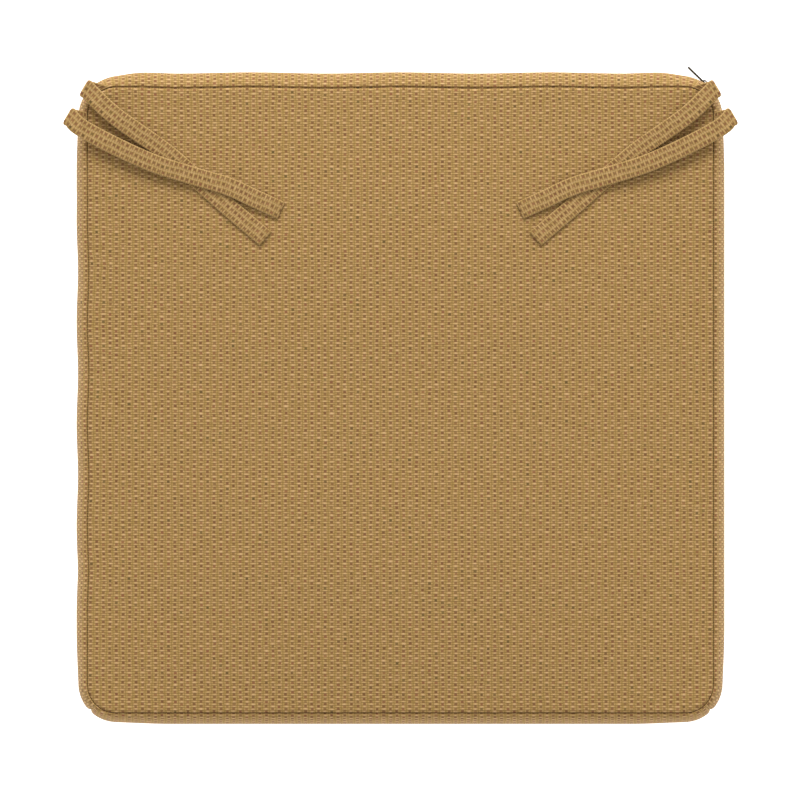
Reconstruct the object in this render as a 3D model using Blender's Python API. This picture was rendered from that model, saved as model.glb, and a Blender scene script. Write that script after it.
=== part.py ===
"""Boxed seat cushion: zipped cloth cover, foam and batting filling, and two pairs of ties.

Metres, +Z up. The origin is the middle of the underside. +Y points to the zipped rear edge, and +X to
the end of the zip where its slider rests when it is closed.
"""
import math

import bmesh
import bpy
import numpy as np

# ---- cover -----------------------------------------------------------------------------------------
SEAM_WIDTH = 0.443       # top seam to top seam along X
SEAM_DEPTH = 0.443       # top seam to top seam along Y
SEAM_CORNER = 0.0145     # plan radius of the seams at the corners
BOXING_HEIGHT = 0.038    # lower seam to upper seam
SEAM_RISE = 0.003        # lower seam above the surface the cushion lies on
CROWN = 0.0085           # how far the middle of the top panel stands above its seam
CROWN_POWER = 2.6        # higher is flatter in the middle and steeper near the seams
CLOTH = 0.0006           # cloth thickness
GAP = 0.0003             # room kept between neighbouring pieces
ALLOWANCE = 0.010        # seam allowance turned inside the cover
EDGE_ROLL = 0.014        # strip along the lower seam where the bottom panel lifts off the seat
ROLL_BREAK = 0.6         # share of that strip at which the panel turns up
ROLL_START = 0.3         # share of the lift gained by there

# ---- boxing ----------------------------------------------------------------------------------------
SIDE_BULGE = 0.0075      # front and side boxing beyond the seam, away from the corners
ZIP_BULGE = 0.0101       # the same for the two zip strips at the rear
CORNER_BULGE = 0.0060    # beside a corner's upright seam
NOTCH_BULGE = 0.0046     # on a corner's upright seam, which pulls the cloth in
SIDE_RUN = 0.055         # length over which a side loses its bulge towards a corner
ZIP_RUN = 0.038          # the same at the rear
NOTCH_RUN = 0.0025       # length of boxing that the upright seam pulls in
SQUARENESS = 3.0         # higher carries the boxing's bulge nearer to its seams
FULLNESS = 0.6           # lower makes the boxing leave its seams more squarely
LIP_FULLNESS = 0.8       # the same for the lip of a zip strip
LIP_SAG = 0.002          # how far below its middle a zip strip stands out most
LIP_ROOM = 0.0016        # least depth of a zip strip's lip outside its hem
HEM = 0.007              # turned edge of a zip strip, stitched to the tape

# ---- filling ---------------------------------------------------------------------------------------
FOAM_PROUD = 0.0045      # foam beyond the seam line, under the boxing
FOAM_CORNER = 0.024      # plan radius of the foam's corners
FOAM_EDGE = 0.010        # rounding of the foam's long edges
FOAM_INSET = 0.002       # foam face from the seam height, top and bottom
BATTING_INSET = 0.0135   # edge of both batting sheets inside the seam line

# ---- zip -------------------------------------------------------------------------------------------
TAPE_SETBACK = 0.0019    # middle of the tapes inside the rear seam line
TAPE = 0.0005            # tape thickness
TAPE_MARGIN = 0.0053     # sewn edge of a tape from the seam
TAPE_SHORT = 0.0013      # end of the tapes short of a corner's upright seam
TAPE_LAP = 0.0001        # tape's edge back from its coil's
COIL_WIDTH = 0.0024
COIL_DEPTH = 0.0018
SLIDER_LENGTH = 0.009
SLIDER_PLATE = 0.001     # front plate
SLIDER_BACK = 0.0008     # back plate
SLIDER_FLANGE = 0.0008   # edge of the front plate turned back round the coil
SLIDER_POST = 0.0008     # post between the plates
SLIDER_POST_LENGTH = 0.0025
POST_INSET = 0.0005      # post from the slider's end
SLIDER_CORNER = 0.0012   # plan radius of the plates' corners
SLIDER_ROOM = 0.0008     # zip strip to slider
SLIDER_INSET = 0.0005    # slider end from the end of the tapes when the zip is closed
BRIDGE_WIDTH = 0.0014    # loop on the slider that holds the pull
BRIDGE_STOCK = 0.00095
PIN_OFFSET = 0.0022      # pull axis from the slider's middle
PIN_RADIUS = 0.0008
PIN_ROOM = 0.00035       # pin to bridge
PULL_LENGTH = 0.0161     # pull axis to tip
PULL_WIDTH = 0.0052
PULL_STOCK = 0.0015
PULL_ROOM = 0.00075      # lying pull to front plate
PULL_TIP = 0.0016        # radius of the pull's outer corners
ARM_ROOM = 0.0004        # bridge to each of the pull's arms
WINDOW_ROOM = 0.001      # bridge to the far end of the pull's window
PULL_ANGLE = 136.0       # rest direction of the pull from +X, degrees

# ---- ties ------------------------------------------------------------------------------------------
TIE_WIDTH = 0.0129
TIE = 0.0018             # thickness of a tie, four layers of cloth
FOLD_GAP = 0.0007        # between a tie's two layers at its fold
FOLD_INSET = 0.0003      # end of each layer from the fold's axis
ROOT_LIFT = 0.00055      # middle of the lower layer above the panel's edge, at the fold
ROOT_TUCK = 0.0009       # end of the root outside the seam line
ROOT_TAPER = 0.0008      # thickness of the root where it enters the seam
REAR_FOLD = (0.0006, -0.0015)    # fold's middle from the corner where the rear and side seams would meet
FRONT_FOLD = (0.0123, -0.0214)

TIE_FACET = 0.009        # length of a tie's facets

# Lift of a tie's middle above the top panel: at its fold, lying on the panel, lying on the other tie,
# and where the upper tie comes down past the edge of the lower one.
FOLD_LIFT = ROOT_LIFT + TIE + FOLD_GAP
LYING = TIE / 2 + GAP
STACKED = LYING + TIE + GAP
COMING_DOWN = (LYING + STACKED) / 2 + 0.00035

# Route of each tie's upper layer from its fold to its free end: across and back from the same corner,
# and its lift. The front tie lies on the rear one.
REAR_ROUTE = [(-0.0194, -0.0204, FOLD_LIFT + 0.00025), (-0.0498, -0.0403, LYING + 0.0001),
              (-0.0746, -0.0572, LYING), (-0.1029, -0.0856, LYING), (-0.1262, -0.1074, LYING)]
FRONT_ROUTE = [(0.0047, -0.0268, FOLD_LIFT + 0.00025), (-0.0176, -0.0429, STACKED + 0.0006),
               (-0.0461, -0.0537, STACKED + 0.0005), (-0.0725, -0.0622, STACKED + 0.0002),
               (-0.0992, -0.0702, STACKED + 0.0002), (-0.1185, -0.0790, COMING_DOWN),
               (-0.1371, -0.0875, LYING)]

# ---- worked out from the above ---------------------------------------------------------------------
HALF_X = SEAM_WIDTH / 2
HALF_Y = SEAM_DEPTH / 2
LOW_SEAM = SEAM_RISE
TOP_SEAM = SEAM_RISE + BOXING_HEIGHT
PITCH = CLOTH + GAP                      # from one layer to the next in a seam
PANEL_EDGE = TOP_SEAM + 1.5 * PITCH + CLOTH / 2   # outer face of the top panel at its seam
BOXING_LOW = LOW_SEAM + 0.5 * PITCH      # middle of the boxing's allowances
BOXING_HIGH = TOP_SEAM - 0.5 * PITCH
COIL_SPLIT = SLIDER_POST + 2 * GAP       # room between the two coils, in which the slider's post runs
SLIDER_WIDTH = COIL_SPLIT + 2 * (COIL_WIDTH + GAP + SLIDER_FLANGE)
ZIP_CHANNEL = SLIDER_WIDTH + 2 * SLIDER_ROOM      # opening between the two zip strips
TAPE_WIDTH = BOXING_HEIGHT / 2 - TAPE_MARGIN - COIL_SPLIT / 2     # one tape, coil edge to sewn edge
PIN_HOLE = PIN_RADIUS + PIN_ROOM         # radius inside the bridge
BRIDGE_OUTER = PIN_HOLE + BRIDGE_STOCK
PIN_RISE = PULL_STOCK / 2 + PULL_ROOM    # pull axis above the front plate
PULL_WINDOW = BRIDGE_OUTER + WINDOW_ROOM # axis to the far end of the pull's window
TAPE_Y = HALF_Y - TAPE_SETBACK
TAPE_END = TAPE_Y - TAPE / 2 + HALF_X - HALF_Y - TAPE_SHORT
ZIP_Z = (LOW_SEAM + TOP_SEAM) / 2
COIL_Y = TAPE_Y + TAPE / 2 + GAP + COIL_DEPTH / 2
PLATE_Y = COIL_Y + COIL_DEPTH / 2 + GAP  # inner face of the slider's front plate
PIN_Y = PLATE_Y + SLIDER_PLATE + PIN_RISE
SLIDER_X = TAPE_END - SLIDER_INSET - SLIDER_LENGTH / 2
PIN_X = SLIDER_X + PIN_OFFSET
FOAM_REAR = TAPE_Y - TAPE / 2 - GAP - SLIDER_BACK - 2 * GAP   # foam stays clear of the slider

ARC_STEPS = 4            # facets round each corner
SIDE_STEPS = 6           # facets along each straight side
PANEL_ROWS = (1, 0.82, 0.64, 0.46, 0.3, 0.17, 0.08)   # distances inside the seam, as shares of half the width

for old in list(bpy.data.objects):
    bpy.data.objects.remove(old, do_unlink=True)


# ---- materials -------------------------------------------------------------------------------------
def linear(channel):
    """sRGB channel (0 to 1) to linear."""
    return channel / 12.92 if channel <= 0.04045 else ((channel + 0.055) / 1.055) ** 2.4


def material(name, colour, roughness, metallic=0.0):
    """Principled material from an sRGB hex colour."""
    made = bpy.data.materials.new(name)
    made.use_nodes = True
    shader = made.node_tree.nodes["Principled BSDF"]
    channels = [linear(int(colour[i:i + 2], 16) / 255) for i in (0, 2, 4)]
    shader.inputs["Base Color"].default_value = (*channels, 1.0)
    shader.inputs["Roughness"].default_value = roughness
    shader.inputs["Metallic"].default_value = metallic
    return made


WEAVE = material("woven_acrylic", "a98555", 0.9)
FOAM = material("polyurethane_foam", "efe6cf", 0.95)
BATTING = material("polyester_batting", "f4f4f0", 1.0)
TAPE_CLOTH = material("zip_tape_cloth", "9a7a4e", 0.85)
COIL = material("zip_coil_nylon", "8c6e45", 0.45)
BRONZE = material("dark_bronze", "3c372d", 0.42, 0.8)


# ---- making solids ---------------------------------------------------------------------------------
def finish(name, mesh_data, finish_material, smooth=True):
    """Object from a bmesh: doubles merged, faces turned outwards, shaded smooth."""
    bmesh.ops.remove_doubles(mesh_data, verts=mesh_data.verts, dist=1e-6)
    bmesh.ops.recalc_face_normals(mesh_data, faces=mesh_data.faces)
    mesh = bpy.data.meshes.new(name)
    mesh_data.to_mesh(mesh)
    mesh_data.free()
    if smooth:
        mesh.shade_smooth()
        mesh.set_sharp_from_angle(angle=math.radians(40))
    mesh.materials.append(finish_material)
    made = bpy.data.objects.new(name, mesh)
    bpy.context.scene.collection.objects.link(made)
    return made


def from_faces(points, faces):
    """bmesh from an array of points and a list of faces."""
    made = bmesh.new()
    corners = [made.verts.new(point) for point in points]
    for face in faces:
        made.faces.new([corners[i] for i in face])
    return made


def quads(rows, columns, wrap, first=0):
    """Faces of a grid stored row by row, closed across its last column if wrap is set."""
    spans = columns if wrap else columns - 1
    return [(first + i * columns + j, first + i * columns + (j + 1) % columns,
             first + (i + 1) * columns + (j + 1) % columns, first + (i + 1) * columns + j)
            for i in range(rows - 1) for j in range(spans)]


def shell(name, outer, inner, wrap, finish_material):
    """Closed sheet between two grids of points: both faces and the rims that join them."""
    rows, columns = outer.shape[:2]
    count = rows * columns
    faces = quads(rows, columns, wrap) + quads(rows, columns, wrap, count)
    spans = columns if wrap else columns - 1
    rims = [(i * columns + j, i * columns + (j + 1) % columns) for i in (0, rows - 1) for j in range(spans)]
    if not wrap:
        rims += [(i * columns + j, (i + 1) * columns + j) for j in (0, columns - 1) for i in range(rows - 1)]
    if np.ptp(outer[0], axis=0).max() == 0:
        rims = [rim for rim in rims if rim[0] >= columns]
    faces += [(a, b, count + b, count + a) for a, b in rims]
    points = np.concatenate([outer.reshape(-1, 3), inner.reshape(-1, 3)])
    return finish(name, merged_faces(points, faces), finish_material)


def merged_faces(points, faces):
    """bmesh in which points that coincide are shared, and faces that lose an edge keep the rest."""
    _, index, back = np.unique(np.round(points, 7), axis=0, return_index=True, return_inverse=True)
    back = back.ravel()
    kept = []
    for face in faces:
        corners = list(dict.fromkeys(int(back[i]) for i in face))
        if len(corners) > 2:
            kept.append(corners)
    return from_faces(points[index], kept)


def solid(name, rings, finish_material):
    """Closed solid through stacked rings whose first and last rows are single points."""
    rows, columns = rings.shape[:2]
    return finish(name, merged_faces(rings.reshape(-1, 3), quads(rows, columns, True)), finish_material)


def block(low, high):
    """bmesh of a box between two corners."""
    made = bmesh.new()
    bmesh.ops.create_cube(made, size=1.0)
    for corner in made.verts:
        corner.co = [low[i] + (corner.co[i] + 0.5) * (high[i] - low[i]) for i in range(3)]
    return made


def prism(outline, low, high):
    """bmesh of a closed XY outline carried from z = low to z = high."""
    made = bmesh.new()
    face = made.faces.new([made.verts.new((x, y, low)) for x, y in outline])
    raised = bmesh.ops.extrude_face_region(made, geom=[face])["geom"]
    corners = [one for one in raised if isinstance(one, bmesh.types.BMVert)]
    bmesh.ops.translate(made, vec=(0, 0, high - low), verts=corners)
    return made


def united(target, tools):
    """Adds each tool's volume to the target with a live Boolean."""
    for tool in tools:
        tool.hide_render = True
        tool.display_type = "WIRE"
        step = target.modifiers.new("with_" + tool.name, "BOOLEAN")
        step.operation = "UNION"
        step.solver = "EXACT"
        step.object = tool
    return target


def sheet_sides(profile, thickness):
    """Both faces of a sheet whose middle follows a profile of (offset, height) rows, with mitred bends."""
    run = np.diff(profile, axis=0)
    run = run / np.linalg.norm(run, axis=-1, keepdims=True)
    normal = np.stack([-run[..., 1], run[..., 0]], axis=-1)
    before = np.concatenate([normal[:1], normal])
    after = np.concatenate([normal, normal[-1:]])
    mitre = (before + after) / (1 + np.sum(before * after, axis=-1, keepdims=True))
    return profile + mitre * thickness / 2, profile - mitre * thickness / 2


# ---- plan of the seams -----------------------------------------------------------------------------
def seam_ring(offset, corner=SEAM_CORNER, rear=None):
    """Points of the seam line grown by offset; rear, if given, is where the ring ends at the back."""
    half_x = HALF_X + offset
    high_y = HALF_Y + offset if rear is None else rear
    low_y = -HALF_Y - offset
    radius = max(corner + offset, 0.002)
    centres = [(half_x - radius, high_y - radius), (radius - half_x, high_y - radius),
               (radius - half_x, low_y + radius), (half_x - radius, low_y + radius)]
    arcs = []
    for quarter, centre in enumerate(centres):
        angles = np.radians(np.linspace(90 * quarter, 90 * quarter + 90, ARC_STEPS + 1))
        arcs.append(np.array(centre) + radius * np.stack([np.cos(angles), np.sin(angles)], axis=1))
    points = []
    for quarter, arc in enumerate(arcs):
        following = arcs[(quarter + 1) % 4][0]
        fractions = np.linspace(0, 1, SIDE_STEPS + 1)[1:-1, None]
        points += [arc, arc[-1] + fractions * (following - arc[-1])]
    return np.concatenate(points)


def crown(points):
    """Height of the top panel above its seam: flat in the middle, falling to nothing at the seams."""
    share = np.clip(np.abs(points / np.array([HALF_X, HALF_Y])), 0, 1)
    return CROWN * np.prod(1 - share ** CROWN_POWER, axis=-1)


def side_stations(along, outward, half_along, half_out, run, middle_bulge):
    """Stations of the seam line on one side, from upright seam to upright seam.

    Gives each station's seam point, outward direction and bulge. Along a side the bulge is
    full; it eases to CORNER_BULGE over run, and the upright seam pulls it in to NOTCH_BULGE.
    """
    along, outward = np.array(along, float), np.array(outward, float)
    reach = half_along - SEAM_CORNER
    notch = NOTCH_RUN / SEAM_CORNER
    turns = np.array([math.pi / 4, math.pi / 4 - notch / 2, math.pi / 4 - notch, math.pi / 10, 0])
    steps = np.array([0.2, 0.5, 0.9]) * run
    straight = np.concatenate([-reach + steps, [0], reach - steps[::-1]])
    turn = np.concatenate([-turns, np.zeros(len(straight)), turns[::-1]])
    shift = np.concatenate([np.full(len(turns), -reach), straight, np.full(len(turns), reach)])
    normal = np.sin(turn)[:, None] * along + np.cos(turn)[:, None] * outward
    base = shift[:, None] * along + (half_out - SEAM_CORNER) * outward + SEAM_CORNER * normal
    from_seam = SEAM_CORNER * (math.pi / 4 - np.abs(turn)) + reach - np.abs(shift)
    tangent = np.cos(turn)[:, None] * along - np.sin(turn)[:, None] * outward
    base[0] += tangent[0] * GAP / 2
    base[-1] -= tangent[-1] * GAP / 2
    ease = np.clip(from_seam / run, 0, 1)
    bulge = CORNER_BULGE + (middle_bulge - CORNER_BULGE) * ease ** 2 * (3 - 2 * ease)
    bulge -= (CORNER_BULGE - NOTCH_BULGE) * np.clip(1 - from_seam / NOTCH_RUN, 0, 1)
    return base, normal, bulge


def strip(name, base, normal, profiles):
    """Strip of cloth along a side, with one profile of (offset, height) rows at each station."""
    faces = []
    for side in zip(*[sheet_sides(profile, CLOTH) for profile in profiles]):
        rows = np.array(side).transpose(1, 0, 2)
        plan = base[None] + rows[..., :1] * normal[None]
        faces.append(np.concatenate([plan, rows[..., 1:]], axis=-1))
    return shell(name, faces[0], faces[1], False, WEAVE)


# ---- cover -----------------------------------------------------------------------------------------
def seam_fold(body, leg):
    """Middle line of a panel's hairpin fold, from the body's height to the turned allowance's end."""
    radius = (body - leg) / 2
    turns = np.radians([90, 45, 0, -45, -90])
    outermost = -CLOTH / 2
    centre = outermost - abs(radius)
    bend = [(centre + abs(radius) * math.cos(t), (body + leg) / 2 + radius * math.sin(t)) for t in turns]
    return bend + [(-ALLOWANCE, leg)]


def panel(name, body, fold, rise):
    """Panel whose profile runs from its middle through its fold to the end of its allowance.

    rise(points) is added to the height of the rows of the body.
    """
    faces = []
    for side in sheet_sides(np.array(body + fold), CLOTH):
        rows = []
        for row, (offset, height) in enumerate(side):
            plan = seam_ring(offset) if row else np.zeros_like(seam_ring(0))
            lift = rise(plan) if row < len(body) else 0
            rows.append(np.column_stack([plan, np.zeros(len(plan)) + height + lift]))
        faces.append(np.array(rows))
    return shell(name, faces[0], faces[1], True, WEAVE)


def make_panels():
    """Crowned top panel, and a bottom panel that lies flat and lifts to its seam."""
    half = min(HALF_X, HALF_Y)
    top = TOP_SEAM + 1.5 * PITCH
    body = [(-half * share, top) for share in PANEL_ROWS]
    panel("top_panel", body, seam_fold(top, TOP_SEAM + 0.5 * PITCH), crown)

    low = LOW_SEAM - 1.5 * PITCH
    flat = CLOTH / 2
    turned_up = (-EDGE_ROLL * ROLL_BREAK, flat + (low - flat) * ROLL_START)
    body = [(-half, flat), (-EDGE_ROLL, flat), turned_up]
    panel("bottom_panel", body, seam_fold(low, LOW_SEAM - 0.5 * PITCH), lambda plan: 0)


SIDES = {
    "front_boxing": ((1, 0), (0, -1), HALF_X, HALF_Y),
    "right_boxing": ((0, 1), (1, 0), HALF_Y, HALF_X),
    "left_boxing": ((0, 1), (-1, 0), HALF_Y, HALF_X),
}


def make_boxing():
    """Front and side strips: an allowance at each seam and a bulge that is steepest beside the seams."""
    level = -np.cos(np.linspace(0, math.pi, 9))
    share = (1 - np.abs(level) ** SQUARENESS) ** FULLNESS
    between = (BOXING_LOW + BOXING_HIGH) / 2 + level * (BOXING_HIGH - BOXING_LOW) / 2
    height = np.concatenate([[BOXING_LOW], between, [BOXING_HIGH]])
    for name, (along, outward, half_along, half_out) in SIDES.items():
        base, normal, bulge = side_stations(along, outward, half_along, half_out, SIDE_RUN, SIDE_BULGE)
        middle = (bulge - CLOTH / 2)[:, None] * share[None]
        edge = np.full((len(bulge), 1), -ALLOWANCE)
        offset = np.concatenate([edge, middle, edge], axis=1)
        strip(name, base, normal, np.stack([offset, np.broadcast_to(height, offset.shape)], axis=-1))


def make_zip_strips():
    """Rear strips: from the seam out round a lip and in to a hem that lies on the zip tape."""
    base, normal, bulge = side_stations((1, 0), (0, 1), HALF_X, HALF_Y, ZIP_RUN, ZIP_BULGE)
    hem_y = TAPE_Y + TAPE / 2 + GAP + CLOTH / 2
    to_hem = np.minimum((hem_y - base[:, 1]) / normal[:, 1], bulge - LIP_ROOM)
    seam_level = BOXING_HIGH - ZIP_Z
    lip_level = ZIP_CHANNEL / 2 + CLOTH / 2
    turn = np.linspace(0, math.pi, 10)
    level = (seam_level + lip_level) / 2 + (seam_level - lip_level) / 2 * np.cos(turn)
    level = np.concatenate([[seam_level], level - LIP_SAG * np.sin(turn), [lip_level + HEM]])
    for name, sign in (("zip_strip_upper", 1), ("zip_strip_lower", -1)):
        profiles = []
        for out, hem in zip(bulge - CLOTH / 2, to_hem):
            bow = (out - hem / 2) * np.sin(turn) ** LIP_FULLNESS
            offset = np.concatenate([[-ALLOWANCE], hem * (1 - np.cos(turn)) / 2 + bow, [hem]])
            profiles.append(np.column_stack([offset, ZIP_Z + sign * level]))
        strip(name, base, normal, profiles)


# ---- filling ---------------------------------------------------------------------------------------
def make_filling():
    """Foam slab with rounded edges between two batting sheets, clear of the seam allowances."""
    low, high = LOW_SEAM + FOAM_INSET, TOP_SEAM - FOAM_INSET
    turns = np.linspace(0, math.pi / 2, 4)
    inset = FOAM_EDGE * (1 - np.sin(turns))
    depth = FOAM_EDGE * (1 - np.cos(turns))
    rows = []
    for shrink, height in list(zip(inset, high - depth)) + list(zip(inset[::-1], low + depth[::-1])):
        plan = seam_ring(FOAM_PROUD - shrink, FOAM_CORNER, FOAM_REAR - shrink)
        rows.append(np.column_stack([plan, np.full(len(plan), height)]))
    middle = np.array([0, (FOAM_REAR - HALF_Y - FOAM_PROUD) / 2])
    ends = [np.column_stack([np.tile(middle, (len(plan), 1)), np.full(len(plan), z)]) for z in (high, low)]
    solid("foam_core", np.array([ends[0]] + rows + [ends[1]]), FOAM)

    half = min(HALF_X, HALF_Y)
    inner = [share for share in PANEL_ROWS[1:] if half * share > BATTING_INSET]
    middle = np.zeros_like(seam_ring(0))
    edge = seam_ring(-BATTING_INSET)
    plans = [middle] + [seam_ring(-half * share) for share in inner] + [edge]
    under_panel = TOP_SEAM + 1.5 * PITCH - CLOTH / 2 - 2 * GAP
    top = [np.column_stack([plan, under_panel + crown(plan)]) for plan in plans]
    foot = [np.column_stack([plan, np.full(len(plan), high + GAP)]) for plan in plans[::-1]]
    solid("batting_top", np.array(top + foot), BATTING)

    levels = [low - GAP, low - GAP, CLOTH + GAP, CLOTH + GAP]
    outlines = [middle, edge, edge, middle]
    rows = [np.column_stack([plan, np.full(len(plan), z)]) for plan, z in zip(outlines, levels)]
    solid("batting_bottom", np.array(rows), BATTING)


# ---- zip -------------------------------------------------------------------------------------------
def make_tapes_and_coils():
    """Two woven tapes sewn behind the strips, each with a coil along the edge that meets the other."""
    inner = COIL_SPLIT / 2
    for name, sign in (("upper", 1), ("lower", -1)):
        edges = sorted((ZIP_Z + sign * (inner + TAPE_LAP), ZIP_Z + sign * (inner + TAPE_WIDTH)))
        tape = block((-TAPE_END, TAPE_Y - TAPE / 2, edges[0]), (TAPE_END, TAPE_Y + TAPE / 2, edges[1]))
        finish("zip_tape_" + name, tape, TAPE_CLOTH, smooth=False)
        edges = sorted((ZIP_Z + sign * inner, ZIP_Z + sign * (inner + COIL_WIDTH)))
        end = TAPE_END - GAP
        coil = block((-end, COIL_Y - COIL_DEPTH / 2, edges[0]), (end, COIL_Y + COIL_DEPTH / 2, edges[1]))
        finish("zip_coil_" + name, coil, COIL, smooth=False)


def arc(centre, radius, start, end, steps):
    """Points on an arc, angles in degrees."""
    angles = np.radians(np.linspace(start, end, steps + 1))
    return [(centre[0] + radius * math.cos(a), centre[1] + radius * math.sin(a)) for a in angles]


def to_zip_plane(shape):
    """Stands an XY outline carried along +Z up into the XZ plane, carried along +Y."""
    for corner in shape.verts:
        corner.co = (corner.co.x, corner.co.z, corner.co.y)
    return shape


def make_slider():
    """Front plate with turned edges, back plate, the post between them and the bridge for the pull."""
    half_long, half_wide = SLIDER_LENGTH / 2, SLIDER_WIDTH / 2
    back = TAPE_Y - TAPE / 2 - GAP - PLATE_Y
    straight = half_long - SLIDER_CORNER
    upright = half_wide - SLIDER_CORNER
    signs = ((1, 1), (-1, 1), (-1, -1), (1, -1))
    outline = []
    for quarter, (x, z) in enumerate(signs):
        outline += arc((x * straight, z * upright), SLIDER_CORNER, 90 * quarter, 90 * quarter + 90, 3)
    plates = []
    for name, low, high in (("plate", 0, SLIDER_PLATE), ("back", back - SLIDER_BACK, back)):
        plates.append((name, to_zip_plane(prism(outline, low, high))))
    flange_foot = TAPE_Y + TAPE / 2 + GAP - PLATE_Y
    plates += [("flange_" + name, block((-straight, flange_foot, low), (straight, SLIDER_PLATE / 2, high)))
               for name, low, high in (("upper", half_wide - SLIDER_FLANGE, half_wide),
                                       ("lower", -half_wide, SLIDER_FLANGE - half_wide))]
    post_end = half_long - POST_INSET
    plates.append(("post", block((post_end - SLIDER_POST_LENGTH, back - SLIDER_BACK / 2, -SLIDER_POST / 2),
                                 (post_end, SLIDER_PLATE / 2, SLIDER_POST / 2))))
    pin = (PIN_OFFSET, SLIDER_PLATE + PIN_RISE)
    foot = SLIDER_PLATE / 2
    outline = arc(pin, BRIDGE_OUTER, 0, 180, 8) + [(pin[0] - BRIDGE_OUTER, foot), (pin[0] - PIN_HOLE, foot)]
    outline += arc(pin, PIN_HOLE, 180, 0, 8) + [(pin[0] + PIN_HOLE, foot), (pin[0] + BRIDGE_OUTER, foot)]
    plates.append(("bridge", prism(outline, -BRIDGE_WIDTH / 2, BRIDGE_WIDTH / 2)))
    made = []
    for name, shape in plates:
        piece = finish("slider_" + name if made else "zip_slider", shape, BRONZE)
        piece.location = (SLIDER_X, PLATE_Y, ZIP_Z)
        made.append(piece)
    united(made[0], made[1:])


def make_pull():
    """Flat pull with a window for the bridge, turning on the round bar at its end."""
    half = PULL_WIDTH / 2
    thick = PULL_STOCK / 2
    arm = BRIDGE_WIDTH / 2 + ARM_ROOM
    straight = PULL_LENGTH - PULL_TIP
    outline = [(PULL_WINDOW, -half), (straight, -half)]
    outline += arc((straight, PULL_TIP - half), PULL_TIP, -90, 0, 4)[1:]
    outline += arc((straight, half - PULL_TIP), PULL_TIP, 0, 90, 4)
    outline += [(PULL_WINDOW, half)]
    shapes = [("zip_pull", to_zip_plane(prism(outline, -thick, thick)))]
    shapes += [("pull_arm_" + name, block((0, -thick, low), (PULL_WINDOW + thick, thick, high)))
               for name, low, high in (("upper", arm, half), ("lower", -half, -arm))]
    shapes.append(("pull_bar", prism(arc((0, 0), PIN_RADIUS, 0, 330, 11), -half, half)))
    made = []
    for name, shape in shapes:
        piece = finish(name, shape, BRONZE)
        piece.location = (PIN_X, PIN_Y, ZIP_Z)
        piece.rotation_euler = (0, 0, math.radians(PULL_ANGLE))
        made.append(piece)
    united(made[0], made[1:])


# ---- ties ------------------------------------------------------------------------------------------
def smooth_route(points, step):
    """Catmull-Rom curve through the points, sampled about every step."""
    padded = np.concatenate([[2 * points[0] - points[1]], points, [2 * points[-1] - points[-2]]])
    samples = []
    for i in range(1, len(padded) - 2):
        a, b, c, d = padded[i - 1:i + 3]
        count = max(2, round(float(np.linalg.norm((c - b)[:2])) / step))
        t = np.arange(count)[:, None] / count
        samples.append(0.5 * (2 * b + (c - a) * t + (2 * a - 5 * b + 4 * c - d) * t ** 2
                              + (3 * b - a - 3 * c + d) * t ** 3))
    return np.concatenate(samples + [points[-1:]])


def panel_height(plan):
    """Outer face of the top panel, and its edge height beyond the seam."""
    return PANEL_EDGE + crown(plan)


def outside_seam(plan):
    """Distance of points outside the seam line, negative inside it."""
    corner = np.abs(plan) - np.array([HALF_X - SEAM_CORNER, HALF_Y - SEAM_CORNER])
    beyond = np.linalg.norm(np.maximum(corner, 0), axis=-1)
    return beyond + np.minimum(corner.max(axis=-1), 0) - SEAM_CORNER


def to_seam(start, direction, wanted):
    """How far from start along direction the seam line lies wanted away, by halving."""
    near, far = 0.0, 2 * TIE_WIDTH
    for _ in range(30):
        middle = (near + far) / 2
        near, far = (middle, far) if outside_seam(start + middle * direction) > wanted else (near, middle)
    return near


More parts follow.
